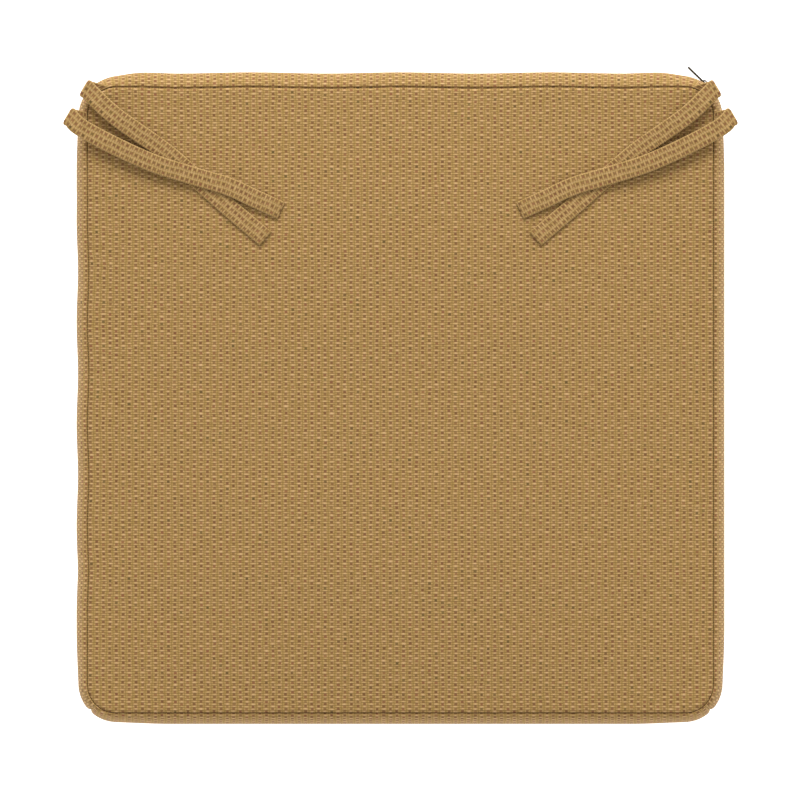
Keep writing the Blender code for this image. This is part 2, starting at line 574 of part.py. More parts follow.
def make_ties():
    """Each tie: a root that rises from the top seam, and the layer folded back over the panel."""
    corner = np.array([HALF_X, HALF_Y])
    rear, front = corner + REAR_FOLD, corner + FRONT_FOLD
    axis = (front - rear) / np.linalg.norm(front - rear)
    outward = np.array([-axis[1], axis[0]])
    across = np.linspace(-0.5, 0.5, 5) * TIE_WIDTH
    for pair, fold, route in (("rear", rear, REAR_ROUTE), ("front", front, FRONT_ROUTE)):
        start = fold - FOLD_INSET * outward
        points = np.array([(*start, FOLD_LIFT)] + [(*(corner + step[:2]), step[2]) for step in route])
        line = smooth_route(points, TIE_FACET)
        run = np.gradient(line[:, :2], axis=0)
        run /= np.linalg.norm(run, axis=1, keepdims=True)
        side = np.stack([-run[:, 1], run[:, 0]], axis=1)
        skew = abs(float(side[0] @ axis))
        side[0] = axis * np.sign(side[0] @ axis) / skew
        plan = line[:, None, :2] + across[None, :, None] * side[:, None]
        middle = panel_height(plan) + line[:, None, 2]
        upper = [np.concatenate([plan, (middle + lift)[..., None]], axis=-1) for lift in (TIE / 2, -TIE / 2)]

        back = 2 * (run[0] @ axis) * axis - run[0]
        inward = -back if back @ outward > 0 else back
        edge = plan[0]
        lengths = np.array([to_seam(one, inward, ROOT_TUCK) for one in edge])
        shares = np.array([0, 0.5, 1])
        root = edge[None] + (shares[:, None] * lengths)[..., None] * inward
        fold_height = PANEL_EDGE + ROOT_LIFT
        tuck_height = BOXING_HIGH + CLOTH / 2 + GAP + ROOT_TAPER / 2
        height = fold_height + shares * (tuck_height - fold_height)
        thick = TIE + shares * (ROOT_TAPER - TIE)
        lower = [np.concatenate([root, np.broadcast_to((height + sign * thick / 2)[:, None, None],
                                                       root.shape[:2] + (1,))], axis=-1) for sign in (1, -1)]
        for hand, mirror in (("right", 1), ("left", -1)):
            flip = np.array([mirror, 1, 1])
            shell(f"{hand}_{pair}_tie_root", lower[0] * flip, lower[1] * flip, False, WEAVE)
            tie = shell(f"{hand}_{pair}_tie", upper[0] * flip, upper[1] * flip, False, WEAVE)
            hinge = (mirror * fold[0], fold[1], PANEL_EDGE + ROOT_LIFT + TIE / 2 + FOLD_GAP / 2)
            for point in tie.data.vertices:
                point.co = [point.co[i] - hinge[i] for i in range(3)]
            tie.location = hinge


make_panels()
make_boxing()
make_zip_strips()
make_filling()
make_tapes_and_coils()
make_slider()
make_pull()
make_ties()
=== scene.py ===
# %% [markdown]
# # A boxed seat cushion with a zip and ties
# A boxed cushion is a top and a bottom panel joined by a strip of cloth, the boxing, that stands round
# the edge of the foam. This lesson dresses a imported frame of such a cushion: the frame holds the true
# sizes, the joints and the pieces' names, and nothing here moves it. Loading it comes first, because
# every later size is read from it.

# %% Load the frame
import math

import bmesh
import bpy
import numpy as np
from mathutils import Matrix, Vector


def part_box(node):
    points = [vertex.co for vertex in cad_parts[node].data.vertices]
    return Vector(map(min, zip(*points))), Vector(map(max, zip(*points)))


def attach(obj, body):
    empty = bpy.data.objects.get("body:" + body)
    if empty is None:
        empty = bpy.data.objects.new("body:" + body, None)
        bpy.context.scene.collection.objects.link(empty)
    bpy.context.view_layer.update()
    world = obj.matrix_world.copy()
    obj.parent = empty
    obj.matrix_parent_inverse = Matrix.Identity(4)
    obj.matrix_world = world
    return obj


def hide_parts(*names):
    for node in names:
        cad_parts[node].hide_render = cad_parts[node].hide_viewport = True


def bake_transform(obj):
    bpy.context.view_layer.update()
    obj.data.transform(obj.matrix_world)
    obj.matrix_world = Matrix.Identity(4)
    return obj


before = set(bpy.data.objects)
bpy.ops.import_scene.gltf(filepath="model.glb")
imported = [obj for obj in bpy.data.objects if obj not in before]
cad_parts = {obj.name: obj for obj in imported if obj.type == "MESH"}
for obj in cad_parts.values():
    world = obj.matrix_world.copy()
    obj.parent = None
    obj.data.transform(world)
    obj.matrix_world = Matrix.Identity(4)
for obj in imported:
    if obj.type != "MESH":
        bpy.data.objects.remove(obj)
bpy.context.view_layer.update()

# %% [markdown]
# ## Sizes
# The seam line is where a panel meets the boxing. The frame gives its half widths and heights, and the
# few lengths that a box can't tell, such as the corner's radius, are named here in metres.

# %% Sizes
MM = 0.001
HALF_X, HALF_Y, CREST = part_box("top_panel")[1]
SEAM_LOW, SEAM_TOP = (corner[2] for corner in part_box("front_boxing"))
SEAM_CORNER = 20 * MM
PANEL_EDGE = 42.65 * MM      # outer face of the top panel beside its seam
CROWN_POWER = 2.6            # higher is flatter in the middle, with a steeper edge
CLOTH = 0.6 * MM             # thickness of the cover's cloth
FULLER = 0.6 * MM            # how much the padding pushes the boxing out past its frame
SIDE_BULGE = FULLER - HALF_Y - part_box("front_boxing")[0][1]
ZIP_BULGE = 10.7 * MM        # the same for the strips beside the zip, half way along them
CORNER_BULGE = 6.5 * MM      # what is left of either beside a corner
NOTCH_BULGE = 5.6 * MM       # and on the corner's upright seam
MIDDLE = (SEAM_LOW + SEAM_TOP) / 2
GROOVE = 1.2 * MM            # depth of the seam below the boxing beside it
print(f"seam {HALF_X * 2:.3f} x {HALF_Y * 2:.3f} m, boxing bulges {SIDE_BULGE / MM:.1f} mm")

# %% [markdown]
# ## Making meshes
# Every new piece is a grid of points worked out as whole arrays. One function turns a grid into a mesh
# with its UV map. UVs are in metres along the cloth, so that a weave has the same real size everywhere.

# %% Grids into meshes
def grid_faces(rows, columns, wrap=False):
    """Quads of a grid stored row by row: corner, next column, diagonal, next row; wrap joins both sides."""
    spans = columns if wrap else columns - 1
    i, j = np.meshgrid(np.arange(rows - 1), np.arange(spans), indexing="ij")
    k = (j + 1) % columns
    corners = [i * columns + j, i * columns + k, (i + 1) * columns + k, (i + 1) * columns + j]
    return np.stack(corners, axis=-1).reshape(-1, 4)


def piece(name, points, faces, uv=None):
    """Mesh object at the origin from points and quads; uv gives each point its place on the flat cloth."""
    mesh = bpy.data.meshes.new(name)
    mesh.from_pydata(points.reshape(-1, 3).tolist(), [], faces.tolist())
    if uv is not None:
        layer = mesh.uv_layers.new(name="cloth")
        layer.data.foreach_set("uv", uv.reshape(-1, 2)[faces.ravel()].astype(np.float32).ravel())
    mesh.shade_smooth()
    made = bpy.data.objects.new(name, mesh)
    bpy.context.scene.collection.objects.link(made)
    return made


def thicken(made):
    """Gives a sheet of cloth its thickness, on its inner side."""
    wall = made.modifiers.new("thickness", "SOLIDIFY")
    wall.thickness = CLOTH
    wall.offset = -1.0
    wall.use_even_offset = True
    return made


def dress(made, body, slot, finish, *nodes):
    """Rides a piece on its one body, if any, stands it for its frame nodes, and gives it its finish."""
    if body:
        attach(made, body)
    if nodes:
        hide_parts(*nodes)
    made.data.materials.clear()
    made.data.materials.append(finish)
    return made


print("grid of 3 x 3 points:", len(grid_faces(3, 3)), "faces")

# %% [markdown]
# ## One helper for materials
# Blender's materials are trees of nodes. One small function adds any node with its settings and links,
# and another turns sRGB hex colours to the linear values that nodes expect.

# %% Material helpers
def linear(colour):
    """sRGB hex to linear RGBA: divided by 12.92 below 0.04045, otherwise raised to 2.4 after an offset."""
    srgb = np.array([int(colour[i:i + 2], 16) for i in (0, 2, 4)]) / 255
    return (*np.where(srgb <= 0.04045, srgb / 12.92, ((srgb + 0.055) / 1.055) ** 2.4).tolist(), 1.0)


def add(tree, kind, inputs=None, ramp=None, **settings):
    """Adds a node: inputs maps its sockets to a value or to another node's output; returns its outputs."""
    node = tree.nodes.new("ShaderNode" + kind)
    for name, value in settings.items():
        setattr(node, name, value)
    for name, value in (inputs or {}).items():
        if isinstance(value, bpy.types.NodeSocket):
            tree.links.new(value, node.inputs[name])
        else:
            node.inputs[name].default_value = value
    if ramp:
        stops = node.color_ramp.elements
        for position, colour in ramp[2:]:
            stops.new(position).color = linear(colour)
        for stop, (position, colour) in zip((stops[0], stops[-1]), ramp[:2]):
            stop.position, stop.color = position, linear(colour)
    return node.outputs


def material(name, **surface):
    """Material with one Principled shader whose own sockets hold the values that are the same all over."""
    made = bpy.data.materials.new(name)
    made.use_nodes = True
    shader = made.node_tree.nodes["Principled BSDF"]
    for socket, value in surface.items():
        shader.inputs[socket.replace("_", " ")].default_value = value
    return made, made.node_tree, shader


print("linear mid grey", [round(v, 3) for v in linear("808080")])

# %% [markdown]
# ## The woven cover
# That glint is a painted highlight: a paler colour mixed into the cloth's own colour.
# The cover is a solution-dyed acrylic in a basket weave. Seen close, pale gold wefts cross darker warps:
# where a warp comes to the surface it shows as a small brown fleck, and the flecks stand in columns
# 4.62 mm apart, every 3.43 mm along a column, with neighbouring columns half a step out. Between two
# flecks of a column the weft rides high and catches the light.
# An image would do this in one node, but a pattern worked out from the UV map in metres stays sharp at
# any distance, and follows the cloth round the boxing. Each strip of smooth steps below is one feature
# of the weave, and noise keyed to each fleck keeps any two from matching.

# %% Weave
WARP_PITCH = 4.62 * MM       # from one column of flecks to the next
WEFT_PITCH = 3.43 * MM       # from one fleck to the next in its column
PHASE = (-39.5 * MM, -52.5 * MM)     # a fleck's place on the flat cloth


def woven(name, warp_pitch, phase, gap_colour, shine, tone):
    """Basket weave on UVs in metres.

    warp_pitch is across, phase is one fleck's place and shine is the most that a glint shows. tone is the
    brightness of the whole cloth, 1 for the yarns' own colours.
    across = (u - phase) / warp_pitch, and its nearest whole number is the column. along is the same for v,
    plus half a step a column. Distances from the nearest whole number, in millimetres, give every mask.
    """
    made, tree, shader = material(name, Roughness=0.88, Sheen_Weight=0.06, Sheen_Roughness=0.45,
                                  Specular_IOR_Level=0.25)
    cloth = add(tree, "UVMap", uv_map="cloth")[0]
    at = add(tree, "SeparateXYZ", {0: cloth})
    wobble = add(tree, "TexNoise", {"Vector": cloth, "Scale": 90.0, "Detail": 2.0})["Fac"]
    drift = add(tree, "MapRange", {0: wobble, 1: 0.3, 2: 0.7, 3: -0.09, 4: 0.09})[0]
    across = add(tree, "Math", {0: at[0], 1: 1 / warp_pitch, 2: -phase[0] / warp_pitch},
                 operation="MULTIPLY_ADD")[0]
    across = add(tree, "Math", {0: across, 1: drift}, operation="ADD")[0]
    column = add(tree, "Math", {0: across}, operation="ROUND")[0]
    along = add(tree, "Math", {0: at[1], 1: 1 / WEFT_PITCH, 2: -phase[1] / WEFT_PITCH},
                operation="MULTIPLY_ADD")[0]
    along = add(tree, "Math", {0: column, 1: 0.5, 2: along}, operation="MULTIPLY_ADD")[0]
    seed = add(tree, "CombineXYZ", {0: column, 1: add(tree, "Math", {0: along}, operation="ROUND")[0]})[0]
    chance = add(tree, "TexWhiteNoise", {"Vector": seed}, noise_dimensions="3D")
    spread = add(tree, "MapRange", {0: chance["Value"], 3: -0.07, 4: 0.07})[0]
    along = add(tree, "Math", {0: along, 1: spread}, operation="ADD")[0]
    twice = add(tree, "Math", {0: along, 1: 2.0}, operation="MULTIPLY")[0]
    from_middle = []
    for place, pitch in ((across, warp_pitch), (along, WEFT_PITCH), (twice, WEFT_PITCH / 2)):
        turned = add(tree, "Math", {0: place, 1: 0.5}, operation="PINGPONG")[0]
        from_middle.append(add(tree, "Math", {0: turned, 1: pitch / MM}, operation="MULTIPLY")[0])
    x, y, thread = from_middle

    edge = warp_pitch / MM / 2
    limits = {"fleck": ((x, 1.3, 0.62), (y, 1.12, 0.5)), "glint": ((x, 1.5, 0.3), (y, 1.1, 1.6)),
              "weft_gap": ((thread, 0.36, 0.8),), "warp_gap": ((x, edge - 0.7, edge - 0.05),)}
    masks = {feature: 1.0 for feature in limits}
    for feature, ranges in limits.items():
        for distance, start, end in ranges:
            soft = add(tree, "MapRange", {0: distance, 1: start, 2: end}, interpolation_type="SMOOTHSTEP")[0]
            masks[feature] = add(tree, "Math", {0: masks[feature], 1: soft}, operation="MULTIPLY")[0]

    yarns = []
    for stretch, scale in (((0.35, 1.0, 1.0), 620.0), ((1.0, 0.3, 1.0), 480.0)):
        run = add(tree, "Mapping", {0: cloth, 3: stretch})[0]
        yarns.append(add(tree, "TexNoise", {"Vector": run, "Scale": scale, "Detail": 3.0})["Fac"])
    weft, warp = yarns
    gold = add(tree, "ValToRGB", {0: weft}, ramp=[(0.28, "97733d"), (0.74, "dcb878"), (0.5, "bd9858")])[0]
    tinge = add(tree, "ValToRGB", {0: warp}, ramp=[(0.33, "a28240"), (0.70, "cda173"), (0.5, "b8925a")])[0]
    colour = add(tree, "Mix", {0: 0.42, 6: gold, 7: tinge}, data_type="RGBA")[2]
    brown = add(tree, "ValToRGB", {0: chance["Value"]},
                ramp=[(0.0, "7c4a33"), (1.0, "64502a"), (0.3, "754c2c"), (0.62, "805636"),
                      (0.85, "925c3e")])[0]
    # The glint layer is a painted highlight over the pale weft, between two flecks of a column.
    for feature, noise, least, most, over in (("weft_gap", weft, 0.45, 1.0, linear("86683a")),
                                              ("warp_gap", warp, 0.3, 0.9, linear(gap_colour)),
                                              ("glint", warp, 0.2 * shine, shine, linear("e2b98c")),
                                              ("fleck", chance["Color"], 0.5, 1.0, brown)):
        strength = add(tree, "MapRange", {0: noise, 3: least, 4: most})[0]
        strength = add(tree, "Math", {0: strength, 1: masks[feature]}, operation="MULTIPLY")[0]
        colour = add(tree, "Mix", {0: strength, 6: colour, 7: over}, data_type="RGBA")[2]
    level = add(tree, "HueSaturation", {"Color": colour, "Value": tone})[0]
    tree.links.new(level, shader.inputs["Base Color"])

    high = 1.0
    for part, rise in ((masks["fleck"], -0.9), (masks["glint"], 0.35), (masks["weft_gap"], -0.45),
                       (masks["warp_gap"], -0.3), (weft, 0.35)):
        high = add(tree, "Math", {0: part, 1: rise, 2: high}, operation="MULTIPLY_ADD")[0]
    relief = add(tree, "Bump", {"Strength": 0.5, "Distance": 0.35 * MM, "Height": high})[0]
    tree.links.new(relief, shader.inputs["Normal"])
    return made


COVER_WEAVE = woven("solution_dyed_acrylic_basket_weave", WARP_PITCH, PHASE, "8e7136", 1.0, 0.91)
TIE_WEAVE = woven("acrylic_tie_folded_weave", 4.3 * MM, (0.0, 0.0), "cba873", 0.3, 0.85)
print("woven finishes", COVER_WEAVE.name, TIE_WEAVE.name)

# %% [markdown]
# ## The seam line
# Both panels and all the boxing meet on one line in plan: a square with small round corners. The rear
# seam is drawn in a little where the zip strip was eased on to the panel, and the left seam likewise,
# so those two waver gently, and every piece that is sewn there has to waver together. That is why the
# wave is a function of place that all of them share.

# %% Plan of the seam and its waves
SIDE_REACH = HALF_X - SEAM_CORNER + SEAM_CORNER * math.pi / 4    # middle of a side to a corner's middle


def bell(place, width):
    """exp(-(place / width)^2): 1 at nought, and almost nothing two widths away."""
    return np.exp(-(place / width) ** 2)


def side_point(along):
    """Boundary of one side in its own frame (across, along), and its outward direction.

    Straight while |along| is under the half side less the corner's radius, then an eighth of a
    circle: angle = (|along| - straight) / radius.
    """
    straight = HALF_X - SEAM_CORNER
    turn = np.clip((np.abs(along) - straight) / SEAM_CORNER, 0, math.pi / 4)
    across = straight + SEAM_CORNER * np.cos(turn)
    shift = np.sign(along) * (np.minimum(np.abs(along), straight) + SEAM_CORNER * np.sin(turn))
    outward = np.stack([np.cos(turn), np.sign(along) * np.sin(turn)], axis=-1)
    return np.stack([across, shift], axis=-1), outward


def waved(points, strength=1.0):
    """Draws the rear and left seams in: depth * (1 - cos(2 pi (place - start) / period)) / 2 near them."""
    moved = points.copy()
    for axis, sign, depth, period, start, length in ((1, 1, 0.85 * MM, 105.6 * MM, 0.0, 190 * MM),
                                                     (0, -1, 1.0 * MM, 72.3 * MM, -17.3 * MM, 150 * MM)):
        place = points[..., 1 - axis]
        inside = np.maximum(HALF_X - sign * points[..., axis], 0)
        near = bell(inside, 14 * MM) * np.clip((length - np.abs(place)) / (30 * MM), 0, 1)
        wave = depth * (1 - np.cos(2 * math.pi * (place - start) / period)) / 2
        moved[..., axis] -= sign * wave * near * strength
    return moved


def ripple(along, seed):
    """Fine uneven puckers beside a seam: five sines with unrelated lengths and seeded phases."""
    phases = np.random.default_rng(seed).uniform(0, 2 * math.pi, 5)
    lengths = np.array([6.3, 8.1, 11.7, 17.9, 29.0]) * MM
    return np.sin(2 * math.pi * along[..., None] / lengths + phases).sum(axis=-1) / 5


print(f"seam length {8 * SIDE_REACH:.3f} m")

# %% [markdown]
# ## Swelling cloth by simulation
# Padding pushes a panel out, and the seams hold its edge. Blender's cloth solver does exactly that: the
# grid's edge is pinned on the seam, pressure pushes the rest out, and the cloth's cut lengths come from
# a rest shape without the seam's waves, so the drawn-in stretches pucker by themselves. The result is
# read back as points and sampled on to the final grid, so no live simulation is left. No point moves
# far, and none ends above the crown that the ties were fitted to.

# %% Cloth simulation
PRESSURE = 2.0
STEPS = 20


def swollen(points, cut, cap):
    """Points of a pinned grid after STEPS frames of pressure; no point moves more than cap."""
    rows, columns = points.shape[:2]
    cloth = piece("cloth_in_simulation", points, grid_faces(rows, columns))
    cloth.shape_key_add(name="Basis")
    rest = cloth.shape_key_add(name="cut")
    rest.data.foreach_set("co", cut.astype(np.float32).ravel())
    rest.value = 0.0
    number = np.arange(rows * columns).reshape(rows, columns)
    border = np.unique(np.concatenate([number[0], number[-1], number[:, 0], number[:, -1]]))
    cloth.vertex_groups.new(name="seam").add(border.tolist(), 1.0, "REPLACE")
    solver = cloth.modifiers.new("cloth", "CLOTH")
    settings = solver.settings
    settings.quality = 6
    settings.mass = 0.3
    settings.tension_stiffness = settings.compression_stiffness = 40
    settings.shear_stiffness = 10
    settings.bending_stiffness = 1.5
    settings.vertex_group_mass = "seam"
    settings.use_pressure = True
    settings.uniform_pressure_force = PRESSURE
    settings.effector_weights.gravity = 0
    settings.rest_shape_key = rest
    solver.point_cache.frame_start, solver.point_cache.frame_end = 1, STEPS
    for step in range(1, STEPS + 1):
        bpy.context.scene.frame_set(step)
    shaped = cloth.evaluated_get(bpy.context.evaluated_depsgraph_get())
    found = np.empty(rows * columns * 3, np.float32)
    shaped.data.vertices.foreach_get("co", found)
    bpy.data.objects.remove(cloth, do_unlink=True)
    bpy.context.scene.frame_set(1)
    shift = found.astype(float).reshape(rows, columns, 3) - points
    far = np.linalg.norm(shift, axis=-1, keepdims=True)
    return points + shift * np.minimum(1, cap / np.maximum(far, 1e-9))


def resampled(field, places):
    """Smooth samples of a grid known at even steps from -1 to 1, at other places, by Catmull-Rom weights."""
    count = len(field)
    step = (np.clip(places, -1, 1) + 1) / 2 * (count - 1)
    first = np.clip(step.astype(int), 0, count - 2)
    t = (step - first)[:, None]
    weights = np.concatenate([-t + 2 * t ** 2 - t ** 3, 2 - 5 * t ** 2 + 3 * t ** 3,
                              t + 4 * t ** 2 - 3 * t ** 3, t ** 3 - t ** 2], axis=1) / 2
    blend = np.zeros((len(places), count))
    for k in range(4):
        np.add.at(blend, (np.arange(len(places)), np.clip(first + k - 1, 0, count - 1)), weights[:, k])
    return np.einsum("ai,ijk->ajk", blend, field)


print("simulation", f"of {STEPS} steps")

# %% [markdown]
# ## Top panel
# The top panel is crowned: nearly flat in the middle, and rolling down to the seam over the foam's edge.
# A square grid is carried on to the rounded outline ring by ring, so that the outermost ring is the seam
# itself. Rings crowd together towards the seam, where the cloth turns down into the groove.

# %% Top panel
def plan_grid(places):
    """Square grid on to the rounded outline, and each point's distance inside the seam.

    ring = max(|u|, |v|) scales the boundary point of u / ring or v / ring.
    """
    u, v = np.meshgrid(places, places, indexing="xy")
    ring = np.maximum(np.maximum(np.abs(u), np.abs(v)), 1e-9)
    on_x = np.abs(u) >= np.abs(v)
    edge, _ = side_point(np.where(on_x, v, u) / ring * SIDE_REACH)
    across = np.where(on_x, np.sign(u), np.sign(v)) * edge[..., 0]
    upright = np.stack([across, edge[..., 1]], axis=-1)
    plan = np.where(on_x[..., None], upright, upright[..., ::-1])
    return plan * ring[..., None], (1 - ring) * HALF_X


def ring_places(insets):
    """Grid places from -1 to 1 with rings at these distances inside the seam, and one line in the middle."""
    places = 1 - insets / HALF_X
    return np.concatenate([-places, [0.0], places[::-1]])


def crown(plan):
    """Height above the seam: crest * (1 - |x|^p) * (1 - |y|^p), with x and y as shares of the half width."""
    share = np.clip(np.abs(plan) / np.array([HALF_X, HALF_Y]), 0, 1)
    return (CREST - PANEL_EDGE) * np.prod(1 - share ** CROWN_POWER, axis=-1)


EDGE_ROLL = 2.2 * MM         # radius of the panel's roll into the seam
UNSWOLLEN = 0.85             # share of the crown that the cloth is cut to, before the padding swells it
FARTHEST_SWELL = 3 * MM
SEAM_PUCKER = 0.22 * MM
SIM_CELLS = 96


def rolled(inside):
    """Quarter circle from 0 at the seam to 1 at EDGE_ROLL inside it: sqrt(1 - (1 - inside / roll)^2)."""
    return np.sqrt(1 - (1 - np.clip(inside / EDGE_ROLL, 0, 1)) ** 2)


def make_top_panel():
    """Simulated on an even grid, sampled on the ring grid, then rolled down into the seam."""
    even = np.linspace(-1, 1, SIM_CELLS + 1)
    plan, _ = plan_grid(even)
    cut = np.concatenate([plan, (PANEL_EDGE + UNSWOLLEN * crown(plan))[..., None]], axis=-1)
    start = waved(cut)
    swell = swollen(start, cut, FARTHEST_SWELL) - cut
    rings = np.concatenate([np.linspace(0, 1.5, 9), [1.9, 2.4, 3.0, 3.8, 4.8]]) * MM
    inner = np.linspace(6.2 * MM, HALF_X, 86)[:-1]
    places = ring_places(np.concatenate([rings, inner]))
    plan, inside = plan_grid(places)
    moved = resampled(resampled(swell, places).transpose(1, 0, 2), places).transpose(1, 0, 2)
    flat = np.concatenate([plan, (PANEL_EDGE + UNSWOLLEN * crown(plan))[..., None]], axis=-1)
    points = flat + moved
    points[..., 2] = np.minimum(points[..., 2], PANEL_EDGE + crown(plan))
    roll = rolled(inside)
    seam = SEAM_TOP - 0.2 * MM
    points[..., 2] = seam + (points[..., 2] - seam) * roll
    seam_run = np.where(np.abs(plan[..., 0]) > np.abs(plan[..., 1]), plan[..., 1], plan[..., 0])
    points[..., 2] += SEAM_PUCKER * ripple(seam_run, 3) * bell(inside, 6 * MM) * roll
    made = piece("top_panel_cloth", points, grid_faces(*points.shape[:2]), plan)
    thicken(made)
    print(f"top panel: crest {points[..., 2].max() / MM:.1f} mm, simulated shift up to "
          f"{np.abs(swell - (start - cut)).max() / MM:.2f} mm")
    return made


top_panel = dress(make_top_panel(), "cover", "woven_cover", COVER_WEAVE, "top_panel")

# %% [markdown]
# ## Bottom panel
# The bottom panel is the same cloth, pressed flat by the seat below it, and it lifts off only along a
# strip beside the seam. It is the top panel's grid with another height, turned over so that it faces down.

# %% Bottom panel
LIFT_STRIP = 14 * MM         # width that doesn't lie on the seat
LIFT = 1.35 * MM


def make_bottom_panel():
    """Flat in the middle, lifting as the square of the way across its strip, then rolled up into the seam."""
    rings = np.concatenate([np.linspace(0, 1.5, 7), [2.2, 3.2, 4.5, 6.0, 8.0, 10.0, 12.5, 15.0]]) * MM
    inner = np.linspace(20 * MM, HALF_X, 34)[:-1]
    places = ring_places(np.concatenate([rings, inner]))
    plan, inside = plan_grid(places)
    rise = np.clip(1 - inside / LIFT_STRIP, 0, 1) ** 2
    height = LIFT * rise + (SEAM_LOW - 1.2 * MM) * (1 - rolled(inside))
    points = waved(np.concatenate([plan, height[..., None]], axis=-1), 0.4)
    faces = grid_faces(*points.shape[:2])[:, ::-1]
    return thicken(piece("bottom_panel_cloth", points, faces, plan))


bottom_panel = dress(make_bottom_panel(), "cover", "woven_cover", COVER_WEAVE, "bottom_panel")
print("bottom panel", len(bottom_panel.data.polygons), "faces")

# %% [markdown]
# ## Boxing
# Each strip runs from one upright corner seam to the next and bellies out between the two long seams:
# its section is half an ellipse. Beside a long seam the cloth first swells up out of the groove. Towards
# a corner the belly shrinks, and the upright seam pulls the last millimetres in, which leaves a small
# notch in the outline. The cloth's threads carry on from the panel, so the UVs do too.

# %% Boxing strips
HALF_STATIONS = 95           # even ones on each half of a side
SIDE_RUN = 55 * MM           # length over which a belly reaches its most
PUCKER_AT = 4 * MM           # from the seam to the middle of its puckers, and their reach
PUCKER = 0.25 * MM
NIP = 0.3 * MM               # how far the stitches pull the edge itself down
CREASE = 0.5 * MM            # how far the upright seam creases the cloth in


def bulge_at(from_corner, run, most):
    """Belly of the boxing: smooth from CORNER_BULGE to its most over run, with a dip at the corner seam."""
    ease = np.clip(from_corner / run, 0, 1)
    belly = CORNER_BULGE + (most - CORNER_BULGE) * ease ** 2 * (3 - 2 * ease)
    return belly - (CORNER_BULGE - NOTCH_BULGE) * bell(from_corner, 1.5 * MM)


def stations():
    """Places along a side, crowded towards its corner seams, as a share of the way times its reach."""
    near = np.array([0, 0.25, 0.5, 0.8, 1.2, 1.7, 2.4, 3.3, 4.4, 5.6, 7, 8.5, 10]) * MM
    half = np.concatenate([near, np.linspace(12 * MM, SIDE_REACH, HALF_STATIONS)])
    return np.concatenate([half - SIDE_REACH, (SIDE_REACH - half)[::-1][1:]])


def seam_groove(arc):
    """Lift beside a long seam: out of the groove within a millimetre, and gone after a few."""
    return GROOVE * (1 - bell(arc, 0.8 * MM)) * bell(arc, 6 * MM)


def section_run(outward, height):
    """Distance along a section from its first point."""
    return np.concatenate([[0], np.cumsum(np.hypot(np.diff(outward), np.diff(height)))])


def side_axes(name):
    """Along and outward directions in plan of each side."""
    axes = {"front": ((1, 0), (0, -1)), "rear": ((-1, 0), (0, 1)),
            "right": ((0, 1), (1, 0)), "left": ((0, -1), (-1, 0))}
    return np.array(axes[name], float)


def to_world(side, edge, normal, offset, height):
    """Grid (profile rows by stations) from a side's boundary, outward offsets and heights."""
    along, outward = side_axes(side)
    place = edge[None] + offset[..., None] * normal[None]
    plan = place[..., :1] * outward + place[..., 1:] * along
    return np.concatenate([plan, np.broadcast_to(height, plan.shape[:2])[..., None]], axis=-1)


def travelled(points):
    """Distance along each line of points from its first row."""
    steps = np.linalg.norm(np.diff(points, axis=0), axis=-1)
    return np.concatenate([np.zeros_like(steps[:1]), np.cumsum(steps, axis=0)])


def cut_width(points):
    """Length of a strip's section at one station, which is the width that it is cut to."""
    return float(np.linalg.norm(np.diff(points, axis=0), axis=-1).sum())


def cloth_uv(side, points, run):
    """Flat cloth beyond the panel's edge: the place along the side, and the distance out along the cloth."""
    along, outward = side_axes(side)
    out = HALF_X + travelled(points)
    return out[..., None] * outward + np.broadcast_to(run, out.shape)[..., None] * along


def make_boxing(side, seed):
    """Half an ellipse: outward = bulge * sin t and height = middle + half * cos t."""
    run = stations()
    edge, normal = side_point(run)
    from_corner = SIDE_REACH - np.abs(run)
    bulge = bulge_at(from_corner, SIDE_RUN, SIDE_BULGE)
    turn = np.linspace(0, 1, 45)
    turn = math.pi * (turn - 0.06 * np.sin(4 * math.pi * turn))
    half = (SEAM_TOP - SEAM_LOW) / 2
    arc = section_run(SIDE_BULGE * np.sin(turn), half * np.cos(turn))
    left_over = arc[-1] - arc
    height = MIDDLE + half * np.cos(turn) + seam_groove(arc) - seam_groove(left_over)
    height = height - NIP * (bell(arc, 0.5 * MM) - bell(left_over, 0.5 * MM))
    from_seam = np.minimum(arc, left_over)
    pucker = PUCKER * ripple(run, seed)[None] * bell(from_seam - PUCKER_AT, PUCKER_AT)[:, None]
    crease = CREASE * bell(from_corner, 0.45 * MM)
    offset = bulge[None] * np.sin(turn)[:, None] + (pucker - crease[None]) * np.sin(turn)[:, None]
    points = to_world(side, edge, normal, offset, height[:, None])
    uv = cloth_uv(side, points, run)
    points = waved(points)
    made = piece(side + "_boxing_cloth", points, grid_faces(*points.shape[:2])[:, ::-1], uv)
    thicken(made)
    return made, (2 * SIDE_REACH, cut_width(points[:, len(run) // 2]))


for number, side in enumerate(("front", "left", "right")):
    boxing, cut_size = make_boxing(side, 11 + number)
    dress(boxing, "cover", "woven_cover", COVER_WEAVE, side + "_boxing")
    print(side, "boxing", len(boxing.data.polygons), "faces, cut", [round(v / MM) for v in cut_size], "mm")

# %% [markdown]
# ## Zip strips
# At the rear the boxing is two strips with the zip between them. Each comes out from its long seam,
# rolls round a lip and turns back in to a hem that lies on the zip's tape, so the zip sits sheltered in
# a channel. The section is one formula with a different reach above and below.

# %% Zip strips
TAPE_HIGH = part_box("zip_tape_upper")[1]
TAPE_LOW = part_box("zip_tape_lower")[0]
ZIP_Z = (TAPE_HIGH[2] + TAPE_LOW[2]) / 2
CHANNEL = 10 * MM            # gap between the two lips
LIP_SAG = 2 * MM
HEM = 7 * MM
ZIP_RUN = 38 * MM            # length over which these bellies reach their most
STATION = 95                 # one away from the corners, whose section stands for the strip's
LIP_DEPTH = 2.2 * MM         # least depth of a lip outside its hem
HEM_GAP = 0.9 * MM           # hem outside its tape
ZIP_PUCKER = 0.3 * MM


